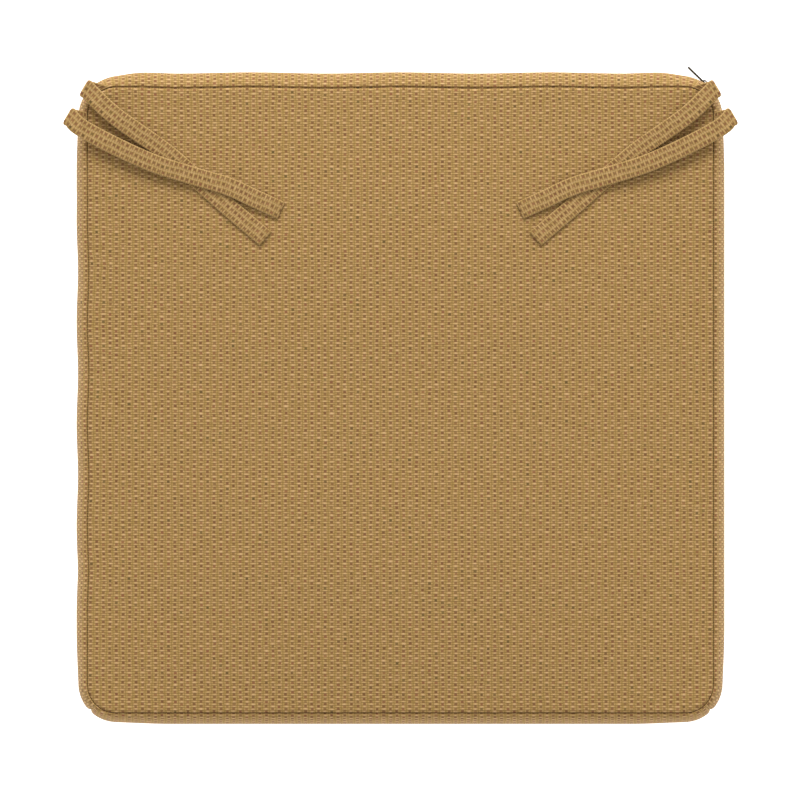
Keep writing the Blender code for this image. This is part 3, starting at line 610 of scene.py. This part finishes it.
def make_zip_strip(name, sign, seed):
    """Section from the seam out over the belly, round the lip and back to the hem."""
    run = stations()
    edge, normal = side_point(run)
    from_corner = SIDE_REACH - np.abs(run)
    bulge = bulge_at(from_corner, ZIP_RUN, ZIP_BULGE) - CREASE * bell(from_corner, 0.45 * MM)
    hem = np.minimum((TAPE_HIGH[1] + HEM_GAP - edge[:, 0]) / normal[:, 0], bulge - LIP_DEPTH)
    turn = np.linspace(0, 1, 40)
    turn = math.pi * (turn - 0.05 * np.sin(4 * math.pi * turn))[:, None]
    seam = SEAM_TOP - ZIP_Z if sign > 0 else ZIP_Z - SEAM_LOW
    lip = CHANNEL / 2
    level = (seam + lip) / 2 + (seam - lip) / 2 * np.cos(turn) - LIP_SAG * np.sin(turn)
    offset = hem * (1 - np.cos(turn)) / 2 + (bulge - hem / 2) * np.sin(turn) ** 0.8
    arc = section_run(offset[:, STATION], level[:, 0])[:, None]
    level = level + seam_groove(arc) - NIP * bell(arc, 0.5 * MM)
    offset = offset + ZIP_PUCKER * ripple(run, seed)[None] * bell(arc - PUCKER_AT, PUCKER_AT) * np.sin(turn)
    leg = np.linspace(0, HEM, 6)[1:, None]
    level = np.concatenate([level, lip + leg])
    offset = np.concatenate([offset, np.broadcast_to(hem, (5, len(run)))])
    points = to_world("rear", edge, normal, offset, ZIP_Z + sign * level)
    uv = cloth_uv("rear", points, run)
    points = waved(points)
    faces = grid_faces(*points.shape[:2])[:, ::-sign]
    made = thicken(piece(name, points, faces, uv))
    return made, (2 * SIDE_REACH, cut_width(points[:, STATION]))


for name, sign in (("upper", 1), ("lower", -1)):
    strip, cut_size = make_zip_strip(f"zip_strip_{name}_cloth", sign, 20 + sign)
    dress(strip, "cover", "woven_cover", COVER_WEAVE, "zip_strip_" + name)
    print("zip strip", name, "cut", [round(v / MM) for v in cut_size], "mm")

# %% [markdown]
# ## Zip
# A coil zip is two woven tapes, each with a spiral of nylon line sewn along one edge. The spirals are
# real geometry, because from behind they are the first thing the eye checks: x runs along the tape while
# y and z go round a flattened circle. The post of the slider runs in the space between them.

# %% Zip finishes
def zip_tape_finish():
    """Woven polyester tape: a fine herringbone that only shows as a dull grain."""
    made, tree, shader = material("woven_polyester_zip_tape", Roughness=0.8, Sheen_Weight=0.1)
    place = add(tree, "TexCoord")["Object"]
    ribs = add(tree, "TexWave", {"Vector": place, "Scale": 260.0, "Distortion": 1.5, "Detail": 2.0},
               bands_direction="DIAGONAL")[1]
    colour = add(tree, "ValToRGB", {0: ribs}, ramp=[(0.2, "8a6b40"), (0.9, "ab8a58")])[0]
    tree.links.new(colour, shader.inputs["Base Color"])
    relief = add(tree, "Bump", {"Strength": 0.4, "Distance": 0.1 * MM, "Height": ribs})[0]
    tree.links.new(relief, shader.inputs["Normal"])
    return made


def nylon_finish():
    """Extruded nylon line, dyed to match: slightly clear, with a soft gloss and a few darker stretches."""
    made, tree, shader = material("dyed_nylon_coil", Roughness=0.36, IOR=1.53, Coat_Weight=0.15)
    place = add(tree, "TexCoord")["Object"]
    noise = add(tree, "TexNoise", {"Vector": place, "Scale": 140.0, "Detail": 2.0})["Fac"]
    colour = add(tree, "ValToRGB", {0: noise}, ramp=[(0.3, "7d5f38"), (0.7, "9c7a4a")])[0]
    tree.links.new(colour, shader.inputs["Base Color"])
    return made


def metal_finish():
    """Die-cast zinc with an aged bronze plating: a dull brown grey with lighter, rubbed patches."""
    made, tree, shader = material("aged_bronze_plated_zinc", Metallic=0.55)
    place = add(tree, "TexCoord")["Object"]
    grain = add(tree, "TexNoise", {"Vector": place, "Scale": 900.0, "Detail": 4.0})["Fac"]
    rubbed = add(tree, "TexNoise", {"Vector": place, "Scale": 160.0, "Detail": 3.0})["Fac"]
    colour = add(tree, "ValToRGB", {0: rubbed},
                 ramp=[(0.35, "3f392f"), (0.75, "72685a"), (0.55, "504939")])[0]
    tree.links.new(colour, shader.inputs["Base Color"])
    dull = add(tree, "MapRange", {0: grain, 3: 0.5, 4: 0.7})[0]
    tree.links.new(dull, shader.inputs["Roughness"])
    relief = add(tree, "Bump", {"Strength": 0.25, "Distance": 0.05 * MM, "Height": grain})[0]
    tree.links.new(relief, shader.inputs["Normal"])
    return made


ZIP_TAPE, NYLON, BRONZE = zip_tape_finish(), nylon_finish(), metal_finish()
print("zip finishes", ZIP_TAPE.name, NYLON.name, BRONZE.name)

# %% Tapes and coils
COIL_PITCH = 1.3 * MM
LINE = 0.55 * MM             # thickness of the nylon line
TAPE_STATIONS = 120


def make_tape(name):
    """Ribbon with a thicker selvedge: it grows near both long edges, then closes to nothing."""
    low, high = (np.array(corner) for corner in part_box(name))
    along = np.linspace(low[0], high[0], TAPE_STATIONS)
    share = np.sin(np.linspace(-math.pi / 2, math.pi / 2, 15))
    half = (high[1] - low[1]) / 2 * np.clip(1 - share ** 16, 0, 1) ** 0.5 * (0.75 + 0.25 * np.abs(share) ** 4)
    across = (low[2] + high[2]) / 2 + share * (high[2] - low[2]) / 2
    ring_z = np.concatenate([across, across[-2:0:-1]])
    ring_y = (low[1] + high[1]) / 2 + np.concatenate([half, -half[-2:0:-1]])
    points = np.stack(np.broadcast_arrays(along[:, None], ring_y[None], ring_z[None]), axis=-1)
    faces = grid_faces(TAPE_STATIONS, len(ring_z), wrap=True)
    return capped(name + "_woven", points, faces)


def capped(name, points, faces, uv=None):
    """Closed tube from stacked rings: both end rings are filled and the faces are turned outwards."""
    made = piece(name, points, faces, uv)
    shape = bmesh.new()
    shape.from_mesh(made.data)
    bmesh.ops.holes_fill(shape, edges=[edge for edge in shape.edges if edge.is_boundary])
    bmesh.ops.recalc_face_normals(shape, faces=shape.faces)
    shape.to_mesh(made.data)
    shape.free()
    return made


def tube(name, path, radius, sides):
    """Round line along a path: ring = path + radius * (cos a * side + sin a * up), square to its run."""
    run = np.gradient(path, axis=0)
    run /= np.linalg.norm(run, axis=1, keepdims=True)
    side = np.cross(run, [1.0, 0.0, 0.0])
    side /= np.linalg.norm(side, axis=1, keepdims=True)
    up = np.cross(run, side)
    angle = np.linspace(0, 2 * math.pi, sides, endpoint=False)[None, :, None]
    points = path[:, None] + radius * (np.cos(angle) * side[:, None] + np.sin(angle) * up[:, None])
    return capped(name, points, grid_faces(len(path), sides, wrap=True))


def make_coil(name):
    """Flattened spiral: y and z on an ellipse in the node's box while x advances one pitch a turn."""
    low, high = (np.array(corner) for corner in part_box(name))
    turns = math.floor((high[0] - low[0] - LINE) / COIL_PITCH)
    angle = np.linspace(0, 2 * math.pi * turns, turns * 12 + 1)
    middle, half = (low + high) / 2, (high - low - LINE) / 2
    x = middle[0] + (angle / (2 * math.pi) - turns / 2) * COIL_PITCH
    y = middle[1] + half[1] * np.cos(angle)
    z = middle[2] + half[2] * np.sin(angle)
    return tube(name + "_line", np.stack([x, y, z], axis=1), LINE / 2, 6)


for name in ("upper", "lower"):
    dress(make_tape("zip_tape_" + name), "cover", "zip_tape", ZIP_TAPE, "zip_tape_" + name)
    coil = dress(make_coil("zip_coil_" + name), "cover", "zip_coil", NYLON, "zip_coil_" + name)
    print("coil", name, len(coil.data.polygons), "faces")

# %% [markdown]
# ## Slider and pull
# The frame's slider and pull have the right shape and clearances, but every edge is sharp. Die-cast
# parts have soft edges, so each piece here is a copy of the frame's mesh, merged, with a small bevel on
# its sharp edges and shading that stays flat on its faces.

# %% Slider and pull
def softened(node, name, width):
    """Copy of a frame node with its triangles merged and its sharp edges rounded to width."""
    made = bpy.data.objects.new(name, bpy.data.objects[node].data.copy())
    bpy.context.scene.collection.objects.link(made)
    shape = bmesh.new()
    shape.from_mesh(made.data)
    bmesh.ops.remove_doubles(shape, verts=shape.verts, dist=1e-6)
    bmesh.ops.dissolve_limit(shape, angle_limit=math.radians(2), verts=shape.verts, edges=shape.edges)
    shape.to_mesh(made.data)
    shape.free()
    made.data.shade_smooth()
    rounding = made.modifiers.new("soft edges", "BEVEL")
    rounding.width = width
    rounding.segments = 3
    rounding.limit_method = "ANGLE"
    rounding.angle_limit = math.radians(35)
    rounding.harden_normals = True
    return made


for name, rounding in (("zip_slider", 0.14 * MM), ("zip_pull", 0.12 * MM)):
    cast = dress(softened(name, name + "_cast", rounding), name, "zip_metal", BRONZE, name)
    print(name, len(cast.data.polygons), "faces before rounding")

# %% [markdown]
# ## Filling
# Inside are a foam slab and a sheet of batting over and under it. They hardly ever show, but they are
# what gives the cover its shape: a slab with rolled edges, and two soft sheets that thin towards theirs.

# %% Filling finishes
def foam_finish():
    """Open-cell polyurethane foam, cut: a matt cream face full of tiny pits, about 0.6 mm across."""
    made, tree, shader = material("cut_polyurethane_foam", Roughness=0.95, Subsurface_Weight=0.1,
                                  Subsurface_Scale=2 * MM)
    place = add(tree, "TexCoord")["Object"]
    cells = add(tree, "TexVoronoi", {"Vector": place, "Scale": 1 / (1.2 * MM)})["Distance"]
    # The colour is darker towards the middle of each pit: painted shade in the pits.
    colour = add(tree, "ValToRGB", {0: cells}, ramp=[(0.1, "d9cfb4"), (0.6, "f2ead6")])[0]
    tree.links.new(colour, shader.inputs["Base Color"])
    relief = add(tree, "Bump", {"Strength": 0.6, "Distance": 0.3 * MM, "Height": cells})[0]
    tree.links.new(relief, shader.inputs["Normal"])
    return made


def batting_finish():
    """Bonded polyester batting: white, crimped fibres that lie every way, with soft hollows between them."""
    made, tree, shader = material("bonded_polyester_batting", Roughness=1.0, Sheen_Weight=0.3)
    place = add(tree, "TexCoord")["Object"]
    fibres = add(tree, "TexNoise", {"Vector": place, "Scale": 420.0, "Detail": 6.0, "Distortion": 2.5})["Fac"]
    # The colour is darker where the bump is lowest: painted shade in the hollows between the fibres.
    colour = add(tree, "ValToRGB", {0: fibres}, ramp=[(0.3, "dfdfd8"), (0.7, "fbfbf7")])[0]
    tree.links.new(colour, shader.inputs["Base Color"])
    relief = add(tree, "Bump", {"Strength": 0.7, "Distance": 0.6 * MM, "Height": fibres})[0]
    tree.links.new(relief, shader.inputs["Normal"])
    return made


FOAM, BATTING = foam_finish(), batting_finish()
print("filling finishes", FOAM.name, BATTING.name)

# %% Foam and batting
SLAB_POINTS = 200


def make_slab(node, name, roll, top_of):
    """Closed slab in a node's box: rings of |x / a|^n + |y / b|^n = 1, inset from its box.

    They run from the middle of the top to that of the underside. Round the edge,
    inset = roll * (1 - sin t) and height = middle + half * cos t.
    """
    low, high = (np.array(corner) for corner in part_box(node))
    half, middle = (high - low)[:2] / 2, (high + low)[:2] / 2
    angle = np.linspace(0, 2 * math.pi, SLAB_POINTS, endpoint=False)
    ring = np.stack([np.cos(angle), np.sin(angle)], axis=1)
    ring = np.sign(ring) * np.abs(ring) ** 0.2
    cap = half.min() * np.array([0.99, 0.8, 0.6, 0.4, 0.22, 0.1])
    turn = np.linspace(0, math.pi, 19)
    inset = np.concatenate([cap, roll * (1 - np.sin(turn)), cap[::-1]])
    level = np.concatenate([np.ones(6), np.cos(turn), -np.ones(6)])[:, None]
    plan = middle + (half - inset[:, None])[:, None] * ring[None]
    top = top_of(plan)
    heart = (top + low[2]) / 2
    height = heart + (top - low[2]) / 2 * level
    points = np.concatenate([plan, height[..., None]], axis=-1)
    return capped(name, points, grid_faces(len(points), SLAB_POINTS, wrap=True))


def flat_top(node):
    """Height of a slab with a level top: its box's highest point everywhere."""
    return lambda plan: np.full(plan.shape[:-1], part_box(node)[1][2])


def under_panel(plan):
    """Height of the upper batting: the top panel's crown, less the cloth and a small gap."""
    return PANEL_EDGE - 1.6 * MM + UNSWOLLEN * crown(plan)


block = make_slab("foam_core", "foam_core_block", 9 * MM, flat_top("foam_core"))
foam = dress(block, "cover", "foam", FOAM, "foam_core")
for name, top_of in (("batting_top", under_panel), ("batting_bottom", flat_top("batting_bottom"))):
    layer = dress(make_slab(name, name + "_layer", 3 * MM, top_of), "cover", "batting", BATTING, name)
print("foam and two sheets of batting")

# %% [markdown]
# ## Ties
# Each corner at the back has two ties, narrow straps of folded cloth sewn into the top seam. A tie comes
# out of the seam, turns back on itself and lies across the panel, the front one on top of the rear one.
# A strap is a flat surface bent in space: a grid of places along and across it, which gets its thickness
# from both sides of that surface. At the turn all its cross lines lie along one straight fold axis, as
# they do on a real strap folded askew. The frame hinges each tie there. Here the strap is one mesh in
# its folded shape, riding on no body.

# %% Where the ties lie
TIE_WIDTH = 12.9 * MM
TIE = 1.8 * MM               # thickness of a strap
ROOT_LIFT = 0.55 * MM        # lower layer above the panel's edge at its fold
FOLD_RADIUS = 1.25 * MM
FOLD_REACH = 0.6 * MM        # how much farther out a strap folds than its hinge stands
ROOT_TUCK = 0.5 * MM         # how far outside the seam line a strap meets the seam
CORNER = np.array([HALF_X, HALF_Y])
FOLDS = {"rear": CORNER + [0.0006, -0.0015], "front": CORNER + [0.0123, -0.0214]}
FOLD_LIFT = 3.05 * MM        # upper layer above the panel at its fold
LYING = 1.2 * MM             # and where it lies on the panel
ROUTES = {
    "rear": [(-0.0194, -0.0204, 0.0050), (-0.0530, -0.0443, 0.0026), (-0.0740, -0.0622, LYING),
             (-0.0975, -0.0830, LYING), (-0.1262, -0.1074, LYING)],
    "front": [(0.0047, -0.0286, 0.0046), (-0.0176, -0.0408, 0.0056), (-0.0461, -0.0537, 0.0050),
              (-0.0725, -0.0622, 0.0037), (-0.0992, -0.0702, 0.0035), (-0.1185, -0.0790, 0.0026),
              (-0.1371, -0.0875, LYING)],
}
AXIS = (FOLDS["front"] - FOLDS["rear"]) / np.linalg.norm(FOLDS["front"] - FOLDS["rear"])
OUTWARD = np.array([-AXIS[1], AXIS[0]])


def smooth_route(points, step):
    """Catmull-Rom curve through the points: a cubic between each two, with slopes from their neighbours."""
    padded = np.concatenate([[2 * points[0] - points[1]], points, [2 * points[-1] - points[-2]]])
    parts = []
    for a, b, c, d in zip(padded, padded[1:], padded[2:], padded[3:]):
        t = np.arange(0, 1, step / np.linalg.norm(c - b))[:, None]
        parts.append(0.5 * (2 * b + (c - a) * t + (2 * a - 5 * b + 4 * c - d) * t ** 2
                            + (3 * b - a - 3 * c + d) * t ** 3))
    return np.concatenate(parts + [points[-1:]])


def outside_seam(plan):
    """Distance outside the rounded seam line: to the corner's circle or to the nearest straight side."""
    past = np.abs(plan) - (CORNER - SEAM_CORNER)
    return np.linalg.norm(np.maximum(past, 0), axis=-1) + np.minimum(past.max(axis=-1), 0) - SEAM_CORNER


def to_seam(start, direction):
    """Lengths along a direction at which points reach the seam's tuck, by halving."""
    near, far = np.zeros(len(start)), np.full(len(start), 2 * TIE_WIDTH)
    for _ in range(30):
        half = (near + far) / 2
        outside = outside_seam(start + half[:, None] * direction) > ROOT_TUCK
        near, far = np.where(outside, half, near), np.where(outside, far, half)
    return near


print("fold axis", AXIS.round(3))

# %% Straps
ACROSS = np.sin(np.linspace(-math.pi / 2, math.pi / 2, 27)) * TIE_WIDTH / 2
CORNER_ROUND = 1.8 * MM      # plan radius of a strap's corners at its fold
SEWN_IN = 4 * MM             # end of a strap inside the seam
PRESSED = 0.8 * MM           # thickness that the seam presses it to
TUCK_LIFT = 0.7 * MM         # strap above the seam where it goes in
SQUARE_RUN = 9 * MM          # length in which its cross lines turn square to its run
DENT = 0.16 * MM             # depth of its edge stitching
DENT_INSET = 1.6 * MM


def strap_surface(pair):
    """Middle surface of a strap, station by station from its tuck to its free end, for the right-hand side.

    Root: straight runs from the fold down to the tuck. Fold: half a circle, outward = r * cos a and
    height = r * sin a. Upper layer: the route plus across * side, where side turns from the fold's axis
    to square with the run over the first centimetre, and height = panel + lift.
    """
    fold = FOLDS[pair] + FOLD_REACH * OUTWARD
    route = np.array([(*fold, FOLD_LIFT)] + [(*(CORNER + step[:2]), step[2]) for step in ROUTES[pair]])
    line = smooth_route(route, 1.5 * MM)
    run = np.gradient(line[:, :2], axis=0)
    run /= np.linalg.norm(run, axis=1, keepdims=True)
    square = np.stack([-run[:, 1], run[:, 0]], axis=1)
    on_axis = AXIS * np.sign(square[0] @ AXIS) / abs(square[0] @ AXIS)
    gone = travelled(line[:, :2])
    ease = np.clip(gone / SQUARE_RUN, 0, 1)[:, None]
    side = on_axis + (square - on_axis) * ease ** 2 * (3 - 2 * ease)
    plan = line[:, None, :2] + ACROSS[None, :, None] * side[:, None]
    upper = np.concatenate([plan, (PANEL_EDGE + crown(plan) + line[:, None, 2])[..., None]], axis=-1)

    edge = fold + ACROSS[:, None] * on_axis
    inward = run[0] - 2 * (run[0] @ OUTWARD) * OUTWARD
    inward = -inward if inward @ OUTWARD > 0 else inward
    share = np.linspace(1, 0, 12)[:-1]
    lengths = to_seam(edge, inward)
    fold_height = PANEL_EDGE + ROOT_LIFT
    tuck_height = SEAM_TOP + TUCK_LIFT
    ease = share ** 2 * (3 - 2 * share)
    height = fold_height + ease * (tuck_height - fold_height)
    plan = edge[None] + (share[:, None] * lengths)[..., None] * inward
    lower = np.concatenate([plan, np.broadcast_to(height[:, None, None], plan.shape[:2] + (1,))], axis=-1)

    angle = np.linspace(-math.pi / 2, math.pi / 2, 15)[:-1]
    plan = edge[None] + (FOLD_RADIUS * np.cos(angle))[:, None, None] * OUTWARD
    height = (fold_height + FOLD_RADIUS * (1 + np.sin(angle)))[:, None, None]
    bend = np.concatenate([plan, np.broadcast_to(height, plan.shape[:2] + (1,))], axis=-1)
    surface = np.concatenate([lower, bend, upper])
    from_fold = np.concatenate([share * lengths.mean(), np.zeros(len(angle)), gone])
    past = np.clip((np.abs(ACROSS) - TIE_WIDTH / 2 + CORNER_ROUND) / CORNER_ROUND, 0, 1)
    back = CORNER_ROUND * (1 - np.sqrt(1 - past ** 2)) * bell(from_fold, 2.2 * MM)[:, None]
    surface[..., :2] -= back[..., None] * OUTWARD
    thick = np.concatenate([TIE + ease * (PRESSED - TIE), np.full(len(angle) + len(gone), TIE)])
    return surface, thick


def make_tie(hand, pair):
    """Strap with both faces and soft edges, dented along its edge stitching.

    Half thickness = t / 2 * sqrt(1 - |across|^8), with across from -1 to 1.
    """
    surface, thick = strap_surface(pair)
    along = np.gradient(surface, axis=0)
    normal = np.cross(along, np.gradient(surface, axis=1))
    normal /= np.linalg.norm(normal, axis=-1, keepdims=True)
    middle = surface[:, len(ACROSS) // 2]
    length = travelled(middle)
    end = np.clip((length[-1] - length) / (1.2 * MM), 0, 1)
    end = np.sqrt(1 - (1 - end) ** 2) * 0.7 + 0.3
    share = np.abs(ACROSS) / (TIE_WIDTH / 2)
    half = thick[:, None] / 2 * end[:, None] * np.sqrt(np.clip(1 - share ** 8, 0, 1))
    half -= DENT * bell(np.abs(ACROSS) - TIE_WIDTH / 2 + DENT_INSET, 0.35 * MM)
    half = np.maximum(half, 0) + 0.05 * MM * ripple(length, len(hand) + len(pair))[:, None] * (1 - share ** 2)
    half[:, [0, -1]] = 0
    sides = [surface + half[..., None] * normal, surface - half[..., None] * normal]
    points = np.concatenate([sides[0], sides[1][:, -2:0:-1]], axis=1)
    flat = np.stack(np.broadcast_arrays(ACROSS[None], length[:, None]), axis=-1)
    uv = np.concatenate([flat, flat[:, -2:0:-1]], axis=1)
    mirror = np.array([1 if hand == "right" else -1, 1, 1])
    name = f"{hand}_{pair}_tie"
    made = capped(name + "_strap", points * mirror, grid_faces(*points.shape[:2], wrap=True), uv)
    dress(made, None, "tie_cloth", TIE_WEAVE, name, name + "_root")
    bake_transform(made)
    full = float(length[-1] + SEWN_IN)
    return made, full


for hand in ("right", "left"):
    for pair in ("rear", "front"):
        strap, length = make_tie(hand, pair)
        print(strap.name, f"{length / MM:.0f} mm,", len(strap.data.polygons), "faces")

# %% [markdown]
# ## Stage, light and camera
# The cushion lies on pale paper that glows a little, as it does in a light tent, so its sides are lit from
# below as well. One large soft light stands behind it and low, and gives the ties their shadows. The
# camera looks straight down from far off with a long lens, which keeps the sides from leaning.

# %% Stage, light and camera
FLOOR_REACH = 25.0           # metres, so that a low view doesn't see its end
FLOOR_DROP = 0.3 * MM
SKY_STRENGTH = 0.685
KEY_PLACE = (0.0, 6.0, 3.6)
KEY_SIZE = 3.0
KEY_POWER = 418
LENS = 1600
FIELD = 0.5664               # width of the picture on the panel, in metres
ASIDE = -0.35 * MM           # camera beside the cushion's middle


def make_stage():
    """Level square of paper just under the cushion."""
    corners = np.array([[-1, -1, 0], [1, -1, 0], [1, 1, 0], [-1, 1, 0]])
    floor = piece("floor", FLOOR_REACH * corners - [0, 0, FLOOR_DROP], np.array([[0, 1, 2, 3]]))
    made, tree, shader = material("pale_paper_sweep", Roughness=0.9, Emission_Strength=1.0)
    shader.inputs["Base Color"].default_value = linear("f4f4f4")
    shader.inputs["Emission Color"].default_value = (1, 1, 1, 1)
    floor.data.materials.append(made)


make_stage()
world = bpy.data.worlds.new("studio")
world.use_nodes = True
world.node_tree.nodes["Background"].inputs["Color"].default_value = (1, 1, 1, 1)
world.node_tree.nodes["Background"].inputs["Strength"].default_value = SKY_STRENGTH
bpy.context.scene.world = world
bpy.context.scene.view_settings.view_transform = "Standard"


def soft_light(name, place, size, power):
    """Square area light that looks at the cushion's middle."""
    lamp = bpy.data.lights.new(name, "AREA")
    lamp.size = size
    lamp.energy = power
    made = bpy.data.objects.new(name, lamp)
    made.location = place
    made.rotation_euler = (-made.location).to_track_quat("-Z", "Y").to_euler()
    made.visible_camera = False
    bpy.context.scene.collection.objects.link(made)


soft_light("rear_key", KEY_PLACE, KEY_SIZE, KEY_POWER)
camera = bpy.data.objects.new("camera", bpy.data.cameras.new("camera"))
camera.data.lens = LENS
camera.location = (ASIDE, 0, PANEL_EDGE + FIELD * LENS / camera.data.sensor_width)
bpy.context.scene.collection.objects.link(camera)
bpy.context.scene.camera = camera
